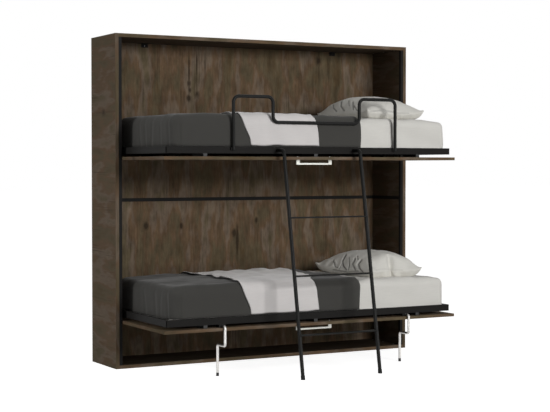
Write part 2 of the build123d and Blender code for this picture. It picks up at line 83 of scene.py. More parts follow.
# Edges of the throw: flat place across the bed from its middle, and place along the wall
THROW_LEFT = [(-0.578, -0.442), (-0.530, -0.449), (-0.469, -0.480), (-0.390, -0.512),
              (-0.150, -0.490), (0.050, -0.470), (0.250, -0.500), (0.425, -0.505),
              (0.578, -0.510)]
THROW_RIGHT = [(-0.578, 0.029), (-0.460, 0.014), (-0.414, 0.004), (-0.385, -0.010),
               (-0.284, 0.064), (-0.102, 0.141), (0.172, 0.215), (0.425, 0.275),
               (0.578, 0.290)]

# Soft ridges in the throw, from the rear edge to the front one: place along the bed at
# each end, width, and height at each end
THROW_RIDGES = {
    "lower": [(0.030, -0.120, 0.060, 0.014, 0.002), (0.200, 0.010, 0.030, 0.006, 0.000),
              (-0.260, -0.300, 0.050, 0.006, 0.002), (-0.120, -0.210, 0.035, 0.006, 0.001)],
    "upper": [(0.150, 0.000, 0.045, 0.010, 0.002), (-0.020, -0.120, 0.030, 0.006, 0.001),
              (-0.140, -0.220, 0.030, 0.006, 0.001), (-0.330, -0.330, 0.040, 0.006, 0.002)],
}

# Creases in the pillow's near long side: lines as the camera sees them, in metres to the
# right of the pillow's middle and over the mattress, then width and depth
PILLOW_CREASES = {
    "lower": [
        ([(-0.146, 0.128), (-0.154, 0.114), (-0.168, 0.088), (-0.164, 0.059),
          (-0.143, 0.031)], 0.0060, 0.010),
        ([(-0.229, 0.095), (-0.219, 0.052), (-0.201, 0.047)], 0.0050, 0.008),
        ([(-0.175, 0.067), (-0.190, 0.035)], 0.0040, 0.006),
        ([(-0.125, 0.110), (-0.122, 0.059), (-0.130, 0.030)], 0.0045, 0.007),
        ([(-0.086, 0.102), (-0.100, 0.067), (-0.082, 0.028)], 0.0060, 0.009),
        ([(-0.072, 0.119), (-0.068, 0.095)], 0.0045, 0.007),
        ([(-0.046, 0.095), (-0.065, 0.067), (-0.054, 0.038), (-0.035, 0.014)], 0.0060, 0.009),
        ([(-0.228, 0.031), (-0.136, 0.014), (-0.065, 0.022)], 0.0060, 0.006),
        ([(0.050, 0.030), (0.094, 0.037), (0.215, 0.030)], 0.0060, 0.0015),
        ([(0.115, 0.124), (0.122, 0.052)], 0.0090, 0.001)],
    "upper": [
        ([(-0.235, 0.120), (-0.231, 0.091), (-0.210, 0.070)], 0.0055, 0.008),
        ([(-0.177, 0.144), (-0.181, 0.102), (-0.159, 0.073)], 0.0060, 0.008),
        ([(-0.131, 0.137), (-0.126, 0.103)], 0.0045, 0.006),
        ([(-0.102, 0.127), (-0.099, 0.080)], 0.0055, 0.008),
        ([(-0.095, 0.102), (-0.074, 0.073)], 0.0050, 0.008),
        ([(0.013, 0.066), (0.092, 0.077), (0.184, 0.055), (0.254, 0.054)], 0.0060, 0.003),
        ([(0.117, 0.135), (0.106, 0.102)], 0.0090, 0.001)],
}

# Knots and dark streaks in the back boards: place along the wall, height, half width and
# half height
BOARD_KNOTS = {
    "upper": [(-0.386, 1.775, 0.014, 0.020), (-0.382, 1.731, 0.010, 0.015),
              (-0.389, 1.679, 0.013, 0.020), (-0.386, 1.850, 0.006, 0.140),
              (-0.330, 1.900, 0.005, 0.070), (-0.270, 1.905, 0.004, 0.060)],
    "lower": [(-0.690, 0.851, 0.015, 0.022), (-0.443, 0.846, 0.010, 0.018),
              (-0.055, 0.792, 0.016, 0.026), (-0.034, 0.740, 0.010, 0.110),
              (0.110, 0.875, 0.011, 0.020)],
}

# Printed figure of the laminate: how wide its spots are across the grain and how long along
# it, then their detail and their roughness
PRINT = {
    "board": (0.12, 0.42, 3.0, 0.55),
    "mottle": (0.060, 0.13, 5.0, 0.62),
    "fibre": (0.0125, 0.11, 4.0, 0.65),
    "pore": (0.0034, 0.05, 2.0, 0.5),
    "cluster": (0.10, 0.45, 1.0, 0.5),
    "line": (0.0060, 0.30, 2.0, 0.5),
}

# Brightness of the laminate where it has no figure, and of what looks to the front or rear:
# the banding of the panels' edges, partly its own lighter tone and partly painted light,
# and the back boards, where it is painted light
CALM_LEVEL = 0.97
FRONT_BANDING_AND_LIGHT = 1.14

# How lively each wood finish is, and how bright its panels are that look to a side, up or
# down: painted shade by the way they face, darkest on the roof and base
LAMINATES = {
    "sides": (0.25, 0.82),
    "roof_and_base": (0.80, 0.42),
    "back": (1.00, 0.86),
    "doors": (0.80, 0.95),
}

# Dark spots in the laminate: how ragged their rim is, where they begin to fade and where
# they end, as shares of their half sizes, and how dark they are
SPOTS = {
    "knot": (1.6, 1.15, 2.1, 0.85),
    "streak": (0.0, 0.10, 1.2, 0.45),
    "set": (1.2, 1.20, 2.1, 0.80),
}

# The loose pattern of knots: its cells across the grain and along it, per metre, the share
# of them that stays empty, and how small a knot and a streak are in a cell
KNOT_CELLS = (2.3, 1.0, 0.9)
EMPTY_SHARE = 0.62
KNOT_FINENESS = (21.0, 0.0, 34.0)
STREAK_FINENESS = (52.0, 0.0, 4.2)

# Cotton of each kind: distance of its drawn threads, strength of its relief and its sheen
WEAVES = {
    "sheet": (0.005, 0.12, 0.15),
    "duvet": (0.006, 0.15, 0.12),
    "throw": (0.006, 0.15, 0.45),
    "pillow": (0.005, 0.12, 0.15),
}

# Soft hills in the cloth: their height, their size and the seed of their waves
HILLS = {
    "sheet": (0.0018, 0.19, 31),
    "sheet_fine": (0.0010, 0.07, 41),
    "sheet_side": (0.0022, 0.16, 51),
    "duvet": (0.0022, 0.34, 11),
    "duvet_fine": (0.0009, 0.12, 13),
    "duvet_end": (0.0040, 0.45, 17),
    "throw": (0.0016, 0.16, 71),
    "throw_hem": (0.0040, 0.22, 61),
    "throw_curl": (0.0036, 0.30, 77),
    "pillow": (0.0010, 0.09, 81),
}

# How the pillowcase's cloth behaves while it is blown up
CASE_CLOTH = {
    "quality": 5,
    "mass": 0.3,
    "tension_stiffness": 30.0,
    "compression_stiffness": 30.0,
    "shear_stiffness": 10.0,
    "bending_stiffness": 8.0,
    "air_damping": 1.0,
    "use_pressure": True,
}

# Half the gap between the pillowcase's panels before it is blown up. It isn't a setting,
# because a setting is rounded, and the least change makes the case crumple another way.
PANEL_GAP = 0.02

# Lamps: place, the point that each is turned to, width, height and its power's setting
LAMPS = {
    "front_lamp": ((1.3, -9.0, 3.0), (0.0, 0.0, 1.0), 3.0, 1.6, "key"),
    "low_lamp": ((1.3, -9.0, 0.25), (0.0, 0.0, 0.4), 3.0, 0.3, "low"),
    "side_lamp": ((-3.6, -0.35, 1.1), (-1.0, -0.35, 1.1), 0.3, 2.6, "fill"),
}

# How far up the light of the sky begins and is full, as shares of the way to the zenith
SKY_SHARES = (-0.18, 0.9)


def length(name, description, default):
    """A length that a user may change, in metres."""
    return bpy.props.FloatProperty(name=name, description=description, default=default,
                                   min=0.0, precision=4, unit="LENGTH")


def amount(name, description, default, unit="NONE"):
    """A number that a user may change, such as a lamp's power in watts."""
    return bpy.props.FloatProperty(name=name, description=description, default=default,
                                   min=0.0, unit=unit)


def linear(code):
    """An sRGB hex colour as linear red, green and blue."""
    shares = np.array([int(code[i:i + 2], 16) for i in (1, 3, 5)]) / 255
    dark, light = shares / 12.92, ((shares + 0.055) / 1.055) ** 2.4
    return tuple(float(v) for v in np.where(shares <= 0.04045, dark, light))


def colour(name, description, code):
    """A colour that a user may change, given as sRGB hex."""
    return bpy.props.FloatVectorProperty(name=name, description=description, subtype="COLOR",
                                         size=3, min=0.0, max=1.0, default=linear(code))


class BunkBedBedding(bpy.types.PropertyGroup):
    """Sizes of the bedding."""

    cell: length("Cell", "Size of the cloth's mesh cells", 0.009)
    corner: length("Corner", "Radius of the mattress's upright corners", 0.050)
    edge: length("Edge", "Radius of the mattress's top edges", 0.044)
    air: length("Gap", "Gap between layers that lie on each other", 0.0006)
    duvet_top: length("Duvet top", "Thickness of the duvet on top of the bed", 0.022)
    duvet_side: length("Duvet side", "Thickness of the duvet where it hangs down", 0.010)
    duvet_roll: length("Duvet roll", "How wide the duvet's round end is", 0.022)
    hem_gap: length("Hem gap", "Height of the duvet's hem over the frame", 0.0004)
    rim: length("Rim", "How far the first row of cells reaches from the duvet's rim", 0.002)
    tuck: length("Tuck", "How deep the hem hangs behind the end rail", 0.008)
    throw_hem_gap: length("Throw hem gap", "Height of the throw's hem over the frame", 0.005)
    throw_thickness: length("Throw", "Thickness of the throw's folded cloth", 0.0035)
    panel_wide: length("Panel width", "Width of the pillowcase laid flat", 0.485)
    panel_long: length("Panel length", "Length of the pillowcase laid flat", 0.705)
    panel_cell: length("Panel cell", "Size of the pillowcase's cells while it is blown up", 0.012)
    pressure: amount("Pressure", "Pressure in a pillow while it is blown up", 2.0)
    frames: bpy.props.IntProperty(name="Frames", description="Frames of the simulation",
                                  default=40, min=2)
    pillow_wide: length("Pillow width", "Pillow's size along the bed, filled", 0.430)
    pillow_long: length("Pillow length", "Pillow's size across the bed, filled", 0.655)
    pillow_high: length("Pillow height", "Pillow's crown over the mattress", 0.171)
    pillow_seam: length("Pillow seam", "Height of the pillow's corners over the mattress", 0.058)


class BunkBedDrape(bpy.types.PropertyGroup):
    """How the bedding lies."""

    crown: length("Crown", "Height of the mattress's crowned top", 0.010)
    crown_rise: length("Crown rise", "How far past the duvet the crown is full", 0.08)
    top_fade: length("Top fade", "How far past the flat top its relief has faded", 0.05)
    sheet_fade: length("Sheet fade", "How far before its hem the sheet's relief fades", 0.03)
    press_wide: length("Hollow width", "Half width of the hollow under the pillow", 0.20)
    press_long: length("Hollow length", "Half length of the hollow under the pillow", 0.30)
    head_drop: length("Head drop", "How far the sheet's top sinks at the bed's head", 0.016)
    head_reach: length("Head reach", "How far from the head that begins", 0.26)
    side_fade: length("Side fade", "How far past the corner the duvet is thin", 0.02)
    foot_thin: length("Foot thinning", "How much thinner the duvet is at the foot", 0.008)
    foot_reach: length("Foot reach", "How far from the foot that begins", 0.30)
    foot_past: length("Foot past", "How far past the mattress's end that is full", 0.02)
    fold_above: length("Folds above", "How far over the mattress's edge folds begin", 0.05)
    fold_below: length("Folds below", "How far under it they are full", 0.03)
    fold_near: length("Folds near", "Where the folds begin to fade along the sides", 0.02)
    fold_far: length("Folds far", "Where they have faded along the sides", 0.06)
    fold_lean: length("Folds lean", "Drop over which a fold takes its lean", 0.10)
    end_inset: length("End inset", "How far the duvet's end lies within its place", 0.004)
    tuck_reach: length("Tuck reach", "Stretch of the hem that is tucked in", 0.08)
    tuck_corner: length("Tuck corner", "How far from a corner the tuck begins", 0.06)
    ridge_near: length("Ridges near", "How far past the flat top ridges begin to fade", 0.01)
    ridge_far: length("Ridges far", "How far past the flat top they have faded", 0.07)
    curl_high: length("Curl height", "How far the throw's left edge stands off", 0.0084)
    curl_wide: length("Curl width", "Width of that edge's curl", 0.035)
    throw_end: length("Throw end", "Stretch of the throw's ends that is uneven", 0.10)
    throw_rim: length("Throw rim", "How wide the throw's round rim is", 0.004)
    corner_lift: length("Corner lift", "How far the pillow's corners curl up", 0.012)
    crease_low: length("Creases low", "Height on the pillow where creases begin", 0.004)
    crease_high: length("Creases high", "Height on the pillow where they are full", 0.02)
    # Painted shade: how deep a crease is where its painted shade is full
    crease_shade_depth: length("Pinch depth", "Depth of a crease that is fully pinched", 0.008)


class BunkBedFinishes(bpy.types.PropertyGroup):
    """Colours of the bed's materials."""

    wood_dark: colour("Dark board", "Darkest boards of the laminate", "#524432")
    wood_olive: colour("Olive board", "Olive boards of the laminate", "#5A503F")
    wood_red: colour("Red board", "Reddish boards of the laminate", "#604E3D")
    wood_light: colour("Light board", "Lightest boards of the laminate", "#6C5F52")
    wood_knot: colour("Knot", "Knots and dark streaks in the laminate", "#2A2118")
    coat: colour("Powder coat", "Black paint of the round tubes", "#161615")
    matt_coat: colour("Matt coat", "Black paint of the frames and plates", "#262524")
    zinc: colour("Zinc", "Zinc plating", "#B4B6B6")
    chrome: colour("Chrome", "Satin chrome of the legs", "#BDBBB8")
    handle: colour("Handle", "Brushed steel of the handles", "#A8A8A2")
    plastic: colour("Plastic", "Black moulded plastic", "#1B1B1B")
    rubber: colour("Rubber", "Black rubber", "#151515")
    beech: colour("Beech", "Lacquered beech slats", "#C49A6C")
    sheet: colour("Sheet", "Cotton of the fitted sheet", "#DCDAD4")
    duvet: colour("Duvet", "Cotton of the duvet", "#3F3E3B")
    throw: colour("Throw", "Cotton of the throw", "#DCD8D6")
    pillow: colour("Pillow", "Cotton of the pillowcase", "#DCDAD3")


class BunkBedStage(bpy.types.PropertyGroup):
    """Floor and light."""

    floor_reach: length("Floor reach", "How far the floor reaches from the bed", 60.0)
    floor_seen: colour("Floor seen", "Colour of the floor as the eye sees it", "#F3F3F3")
    floor_cast: colour("Floor cast", "Colour of the light that the floor throws back", "#6F6E6D")
    floor_glow: amount("Floor glow", "How much the floor is lightened to the eye", 0.80)
    key: amount("Key", "Front lamp's power", 400.0, "POWER")
    fill: amount("Fill", "Side lamp's power", 32.0, "POWER")
    low: amount("Low", "Low lamp's power", 78.0, "POWER")
    sky: amount("Sky", "Light from above", 0.34)


def add(tree, kind, inputs=None, stops=None, **settings):
    """Add a node, make its settings, and set or link its inputs. A node given as an input
    stands for its first output. stops are the places and colours of a colour ramp."""
    node = tree.nodes.new("ShaderNode" + kind)
    for name, value in settings.items():
        setattr(node, name, value)
    for name, value in (inputs or {}).items():
        if isinstance(value, bpy.types.Node):
            value = value.outputs[0]
        if isinstance(value, bpy.types.NodeSocket):
            tree.links.new(value, node.inputs[name])
        else:
            node.inputs[name].default_value = value
    if stops:
        ramp = node.color_ramp.elements
        while len(ramp) < len(stops):
            ramp.new(1.0)
        for element, (place, value) in zip(ramp, stops):
            element.position = place
            element.color = value
    return node


def material(name, build, *facts):
    """A material whose nodes build() adds, ending in the shader that it gives back."""
    made = bpy.data.materials.new(name)
    made.use_nodes = True
    made.node_tree.nodes.clear()
    add(made.node_tree, "OutputMaterial", {"Surface": build(made.node_tree, *facts)})
    return made


def solid(colour_value):
    """A linear colour with full alpha, as sockets want it."""
    return (*colour_value, 1.0)


def maths(tree, operation, *values):
    """A sum over numbers and nodes."""
    return add(tree, "Math", dict(enumerate(values)), operation=operation)


def vectors(tree, operation, *values):
    """A sum over places and nodes that give places."""
    return add(tree, "VectorMath", dict(enumerate(values)), operation=operation)


def fade(tree, value, first, last, start, end=0.0):
    """Goes from start to end while the value goes from first to last."""
    return add(tree, "MapRange", {"Value": value, "From Min": first, "From Max": last,
                                  "To Min": start, "To Max": end})


def noise(tree, place, scale, detail, roughness=0.5):
    """Noise over a place. Its scale is a number or a stretch along each axis."""
    if isinstance(scale, tuple):
        place, scale = add(tree, "Mapping", {"Vector": place, "Scale": scale}), 1.0
    return add(tree, "TexNoise", {"Vector": place, "Scale": scale, "Detail": detail,
                                  "Roughness": roughness})


def toned(tree, tone, level, saturation=1.0):
    """A colour brought to a brightness and a saturation."""
    return add(tree, "HueSaturation", {"Color": tone, "Value": level,
                                       "Saturation": saturation})


def surface(tree, tone, rough, relief, strength, height, **inputs):
    """The shader of a surface whose relief is so strong and so high, in metres."""
    bump = add(tree, "Bump", {"Strength": strength, "Distance": height, "Height": relief})
    return add(tree, "BsdfPrincipled", {"Base Color": tone, "Roughness": rough,
                                        "Normal": bump, **inputs})


def laminate(tree, face_turn, front_turn, liveliness, painted_side_shade, knots=()):
    """Melamine laminate printed as rough oak, pressed with a dull open grain. It gives the
    eye boards of slightly different browns, dark streaks and knots, and hardly any gloss.
    The turns bring the grain to the pattern's Z, front_turn on what looks to the front or
    rear and face_turn on the rest. liveliness says how much the brightness changes, and the
    side level how bright the rest is: painted shade by facing. knots holds the knots and
    streaks that have a set place: across the grain, along it, half width and half length."""
    finish = bpy.context.scene.bunk_bed_finishes
    place = add(tree, "TexCoord")
    face = add(tree, "Mapping", {"Vector": place.outputs["Object"], "Rotation": face_turn})
    front = add(tree, "Mapping", {"Vector": place.outputs["Object"], "Rotation": front_turn})
    looks = add(tree, "SeparateXYZ", {0: place.outputs["Normal"]})
    to_front = maths(tree, "GREATER_THAN", maths(tree, "ABSOLUTE", looks.outputs["Y"]), 0.7)
    chosen = add(tree, "Mix", {0: to_front, 4: face, 5: front}, data_type="VECTOR")
    axes = add(tree, "SeparateXYZ", {0: chosen.outputs[1]})
    across = maths(tree, "ADD", axes.outputs["X"], axes.outputs["Y"])
    board = add(tree, "CombineXYZ", {"X": across, "Z": axes.outputs["Z"]})

    def streaks(kind):
        """Spots of one kind of the printed figure."""
        width, long, detail, roughness = PRINT[kind]
        return noise(tree, board, (1 / width, 1.0, 1 / long), detail, roughness)

    tone = add(tree, "ValToRGB", {"Fac": streaks("board")}, stops=[
        (0.30, solid(finish.wood_dark)), (0.41, solid(finish.wood_olive)),
        (0.49, solid(finish.wood_red)), (0.56, solid(finish.wood_light)),
        (0.66, solid(finish.wood_olive))])
    mottle, fibre, pore = streaks("mottle"), streaks("fibre"), streaks("pore")
    level = maths(tree, "MULTIPLY_ADD", mottle, 1.60, -0.420)
    level = maths(tree, "MULTIPLY_ADD", fibre, 0.90, level)
    level = maths(tree, "MULTIPLY_ADD", pore, 0.30, level)
    level = add(tree, "Mix", {0: liveliness, 2: CALM_LEVEL, 3: level}, data_type="FLOAT")
    # Painted light and shade by facing: what looks to the front or rear is lighter and the rest
    # darker; on the panels' edges this is partly the banding's own lighter tone
    side = add(tree, "Mix", {0: to_front, 2: painted_side_shade, 3: FRONT_BANDING_AND_LIGHT}, data_type="FLOAT")
    print_tone = toned(tree, tone, maths(tree, "MULTIPLY", level, side),
                       1 + 0.06 * liveliness)

    def spot(kind, offset, fineness):
        """A dark spot of one kind, from how far a place is off its middle."""
        ragged, inner, outer, dark = SPOTS[kind]
        sized = vectors(tree, "MULTIPLY", offset, fineness)
        far = vectors(tree, "LENGTH", sized).outputs["Value"]
        return fade(tree, maths(tree, "MULTIPLY_ADD", mottle, ragged, far), inner, outer,
                    dark)

    # Knots sit in some cells of a loose pattern, each with a dark streak along the grain
    knot_place = add(tree, "Mapping", {"Vector": board, "Scale": KNOT_CELLS})
    cells = add(tree, "TexVoronoi", {"Vector": knot_place, "Scale": 1.0})
    offset = vectors(tree, "SUBTRACT", knot_place, cells.outputs["Position"])
    mark = maths(tree, "MAXIMUM", spot("knot", offset, KNOT_FINENESS),
                 spot("streak", offset, STREAK_FINENESS))
    chance = add(tree, "SeparateColor", {"Color": cells.outputs["Color"]})
    picked = maths(tree, "GREATER_THAN", chance.outputs["Red"], EMPTY_SHARE)
    mark = maths(tree, "MULTIPLY", mark, picked)

    # Fine dark lines stand in loose clusters
    cluster = fade(tree, streaks("cluster"), 0.52, 0.62, 0.0, 0.55)
    line = fade(tree, streaks("line"), 0.54, 0.66, 0.0, 1.0)
    mark = maths(tree, "MAXIMUM", mark, maths(tree, "MULTIPLY", cluster, line))
    for across_place, along_place, half_width, half_length in knots:
        offset = vectors(tree, "SUBTRACT", board, (across_place, 0.0, along_place))
        fineness = (1 / half_width, 0.0, 1 / half_length)
        mark = maths(tree, "MAXIMUM", mark, spot("set", offset, fineness))
    final = add(tree, "Mix", {0: mark, 6: print_tone, 7: solid(finish.wood_knot)},
                data_type="RGBA")
    rough = maths(tree, "MULTIPLY_ADD", fibre, 0.20, 0.72)
    return surface(tree, final.outputs[2], rough, maths(tree, "ADD", fibre, pore), 0.25,
                   0.0006, **{"Specular IOR Level": 0.12})


def powder_coat(tree, tone, gloss):
    """Steel with a satin black powder coat. It gives the eye a nearly even black with a
    soft highlight that is broken by fine orange peel. The peel is about 1 mm wide and is
    drawn 4 mm wide, because it would not show."""
    place = add(tree, "TexCoord").outputs["Object"]
    peel = noise(tree, place, 260.0, 2.0)
    cloud = noise(tree, place, 6.0, 3.0)
    shade = toned(tree, solid(tone), maths(tree, "MULTIPLY_ADD", cloud, 0.5, 0.75))
    rough = maths(tree, "MULTIPLY_ADD", cloud, 0.18, 0.33)
    return surface(tree, shade, rough, peel, 0.12, 0.0003, **{"Specular IOR Level": gloss})


def metal(tree, tone, roughness, stretch, depth):
    """Bare or plated steel. The pattern's stretch gives the eye brush lines or an even
    satin, and its depth says how much they break the reflection."""
    place = add(tree, "TexCoord").outputs["Object"]
    grain = noise(tree, place, stretch, 3.0)
    lighter = maths(tree, "MULTIPLY_ADD", grain, 0.16, 0.84)
    lighter = maths(tree, "MULTIPLY_ADD", noise(tree, place, 14.0, 2.0), 0.16, lighter)
    rough = maths(tree, "MULTIPLY_ADD", grain, 0.2, roughness)
    return surface(tree, toned(tree, solid(tone), lighter), rough, grain, depth, 0.0002,
                   Metallic=1.0)


def moulded(tree, tone, roughness, gloss):
    """Moulded plastic, rubber or gloss paint: an even black with a fine spark-eroded grain
    of about 0.4 mm, drawn 3 mm wide so that it shows."""
    grain = noise(tree, add(tree, "TexCoord").outputs["Object"], 330.0, 1.0)
    rough = maths(tree, "MULTIPLY_ADD", grain, 0.15, roughness)
    return surface(tree, solid(tone), rough, grain, 0.15, 0.0002,
                   **{"Specular IOR Level": gloss})


def beech(tree):
    """Steamed beech, planed and lacquered. It gives the eye a warm even brown with short
    dark flecks and a soft sheen along the slat, which runs along Y."""
    finish = bpy.context.scene.bunk_bed_finishes
    place = add(tree, "TexCoord").outputs["Object"]
    fibre = noise(tree, place, (90.0, 3.0, 90.0), 3.0)
    fleck = noise(tree, place, (420.0, 60.0, 420.0), 1.0)
    level = maths(tree, "ADD", maths(tree, "MULTIPLY_ADD", fibre, 0.5, 0.75),
                  fade(tree, fleck, 0.60, 0.72, 0.0, -0.22))
    return surface(tree, toned(tree, solid(finish.beech), level), 0.45, fibre, 0.2, 0.0003)


def cotton(tree, tone, thread, depth, sheen):
    """Plain-woven cotton. It gives the eye a matt cloth with slightly uneven threads and a
    pale bloom at its edges. The threads are 0.4 mm apart and are drawn coarser, as thread
    says in metres, because they would not show. The weave follows the cloth's own UV map,
    which is in metres. Where the mesh marks a crease as shaded, painted shade darkens it."""
    place = add(tree, "TexCoord")
    wave = 2 * math.pi / 20
    warp, weft = [add(tree, "TexWave", {
        "Vector": place.outputs["UV"], "Scale": wave / thread, "Distortion": 0.6,
        "Detail": 1.0, "Detail Scale": 2.0}, bands_direction=axis) for axis in "XY"]
    weave = maths(tree, "MULTIPLY", warp.outputs["Fac"], weft.outputs["Fac"])
    slub = noise(tree, place.outputs["UV"], (18.0, 160.0, 1.0), 3.0)
    cloud = noise(tree, place.outputs["Object"], 7.0, 3.0)
    level = maths(tree, "MULTIPLY_ADD", weave, 0.05, 0.885)
    level = maths(tree, "MULTIPLY_ADD", slub, 0.10, level)
    level = maths(tree, "MULTIPLY_ADD", cloud, 0.10, level)
    # Painted shade in the pillow's creases, from the shade marks that the mesh carries
    pinched = add(tree, "Attribute", attribute_name="pinched")
    level = maths(tree, "MULTIPLY_ADD", pinched.outputs["Fac"], -0.62, level)
    relief = maths(tree, "MULTIPLY_ADD", slub, 0.8, weave)
    return surface(tree, toned(tree, solid(tone), level), 0.88, relief, depth, 0.0006,
                   **{"Specular IOR Level": 0.25, "Sheen Weight": sheen,
                      "Sheen Roughness": 0.5})


def seen_by_eye(tree):
    """1 for rays that the eye sees, straight, mirrored or through glass, and 0 for others."""
    path = add(tree, "LightPath")
    seen = maths(tree, "MAXIMUM", path.outputs["Is Camera Ray"],
                 path.outputs["Is Glossy Ray"])
    return maths(tree, "MAXIMUM", seen, path.outputs["Is Transmission Ray"])


def floor_shader(tree):
    """Matt white floor. The eye sees it white with the bed's shadow on it, while it
    throws only a dull light back, so that undersides stay dark."""
    stage = bpy.context.scene.bunk_bed_stage
    seen = seen_by_eye(tree)
    tone = add(tree, "Mix", {0: seen, 6: solid(stage.floor_cast), 7: solid(stage.floor_seen)},
               data_type="RGBA")
    matt = add(tree, "BsdfDiffuse", {"Color": tone.outputs[2]})
    strength = maths(tree, "MULTIPLY", seen, stage.floor_glow)
    glow = add(tree, "Emission", {"Strength": strength})
    return add(tree, "AddShader", {0: matt, 1: glow})


def dress(finish, *nodes):
    """Give nodes of the frame a finish."""
    for name in nodes:
        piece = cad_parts[name]
        piece.data.materials.clear()
        piece.data.materials.append(finish)


def on_levels(*names):
    """The names of these sub-parts on both beds."""
    return [name + "_" + level for level in LEVELS for name in names]


def soft_noise(x, y, size, seed):
    """Smooth hills about one unit high: the sum of plane waves whose directions, phases
    and lengths about size are drawn from one seed."""
    draw = np.random.default_rng(seed)
    waves = 14
    total = np.zeros(np.broadcast(x, y).shape)
    for _ in range(waves):
        turn, phase, stretch = draw.uniform((0, 0, 0.7), (2 * math.pi, 2 * math.pi, 1.5))
        pace = 2 * math.pi / (size * stretch)
        total += np.cos(pace * (x * math.cos(turn) + y * math.sin(turn)) + phase)
    return total / math.sqrt(waves / 2)


def smooth(value, low, high):
    """Rises from 0 at low to 1 at high along an S curve."""
    share = np.clip((value - low) / (high - low), 0, 1)
    return share * share * (3 - 2 * share)


def bell(distance, width):
    """1 in the middle, falling off on both sides over the width."""
    return np.exp(-(distance / width) ** 2)


def normals(points):
    """Unit normals of a grid of points: the cross product of its two slopes."""
    turned = np.cross(np.gradient(points, axis=0), np.gradient(points, axis=1))
    return turned / np.maximum(np.linalg.norm(turned, axis=-1, keepdims=True), 1e-12)


def grid(first, last, low, high, cell, rim=None):
    """Flat places: shares from 0 to 1 of the way from first to last along X, and places
    from low to high along Y. They are even, but where rim is given, the rows next to the
    rim lie so far from it."""
    long = float(np.max(last - first))
    along = np.linspace(0, 1, max(8, round(long / cell)))
    across = np.linspace(low, high, max(8, round(float(high - low) / cell)))
    if rim:
        along[1], along[-2] = rim / long, 1 - rim / long
        across[1], across[-2] = low + rim, high - rim
    return np.meshgrid(along, across, indexing="ij")


def lay(x, y, half, corner, edge):
    """Lay flat cloth over a box with round corners.

    x and y are flat places from the middle of the box, whose half sizes are half. On the
    box's top the cloth lies flat. Further out it goes straight on to the rounded edge,
    follows a quarter circle there and hangs down. Where it overhangs both ways, its place
    turns about the middle of the round corner. Gives the points from the middle of the
    top, how far each has gone past the flat middle, and its turn about the corner.
    """
    inner = np.asarray(half) - corner
    over_x = np.maximum(np.abs(x) - inner[0], 0)
    over_y = np.maximum(np.abs(y) - inner[1], 0)
    past = np.maximum(over_x, over_y)
    share = np.minimum(over_x, over_y) / np.maximum(past, 1e-9)
    turn = np.where(over_x >= over_y, share, 2 - share) * QUARTER / 2
    flat = corner - edge
    bend = np.clip((past - flat) / edge, 0, QUARTER)
    out = np.minimum(past, flat) + edge * np.sin(bend)
    drop = edge * (1 - np.cos(bend)) + np.maximum(past - flat - edge * QUARTER, 0)
    points = np.stack([np.clip(x, -inner[0], inner[0]) + np.sign(x) * out * np.cos(turn),
                       np.clip(y, -inner[1], inner[1]) + np.sign(y) * out * np.sin(turn),
                       -drop], axis=-1)
    return points, past, turn


def past_for(drop, corner, edge, gap=0.0):
    """How far past the flat middle cloth that lies at a gap has gone when it has dropped
    so far."""
    return corner - edge + (edge + gap) * (QUARTER - 1) + drop + gap


def skin(name, outer, inner, flat):
    """A closed surface from two grids that share their rim, the outer one and the one
    behind it. flat holds each point's flat place, which becomes the UV map."""
    columns, rows = outer.shape[:2]
    front = np.arange(columns * rows).reshape(columns, rows)
    back = front.copy()
    back[1:-1, 1:-1] = columns * rows + np.arange((columns - 2) * (rows - 2)).reshape(
        columns - 2, rows - 2)

    def quads(index):
        around = [index[:-1, :-1], index[1:, :-1], index[1:, 1:], index[:-1, 1:]]
        return np.stack(around, axis=-1).reshape(-1, 4)

    points = np.concatenate([outer.reshape(-1, 3), inner[1:-1, 1:-1].reshape(-1, 3)])
    faces = np.concatenate([quads(front), quads(back)[:, ::-1]])
    mesh = bpy.data.meshes.new(name)
    mesh.from_pydata(points.tolist(), [], faces.tolist())
    corners = np.zeros(len(mesh.loops), int)
    mesh.loops.foreach_get("vertex_index", corners)
    places = np.concatenate([flat.reshape(-1, 2), flat[1:-1, 1:-1].reshape(-1, 2)])
    layer = mesh.uv_layers.new(name="cloth")
    layer.data.foreach_set("uv", places[corners].astype(np.float32).ravel())
    mesh.polygons.foreach_set("use_smooth", np.ones(len(mesh.polygons), bool))
    mesh.update()
    piece = bpy.data.objects.new(name, mesh)
    bpy.context.scene.collection.objects.link(piece)
    return piece


